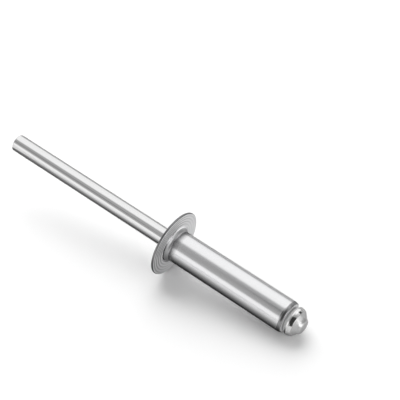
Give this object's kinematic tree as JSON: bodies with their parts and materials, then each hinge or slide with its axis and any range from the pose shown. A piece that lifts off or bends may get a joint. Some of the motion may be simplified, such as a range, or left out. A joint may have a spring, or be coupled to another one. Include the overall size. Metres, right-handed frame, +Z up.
{
  "type": "blind rivet",
  "caption": "Open-end blind rivet, unset: a flanged aluminium tube on a headed steel mandrel, lying at rest.",
  "frame": {"origin": "on the surface that the rivet lies on, under the middle of its bounding box", "axes": "+X along the rivet towards its tail, level, with the rivet's own axis tipped down to the tail by about 7.6 degrees; +Z up"},
  "size_m": [0.0526, 0.01, 0.0103],
  "materials": {
    "rivet_body": "bright cold-formed aluminium, lightly barrel polished",
    "mandrel": "bright zinc-plated drawn steel wire"
  },
  "bodies": {
    "root": {"rivet_body": "rivet_body", "mandrel": "mandrel"}
  },
  "joints": []
}
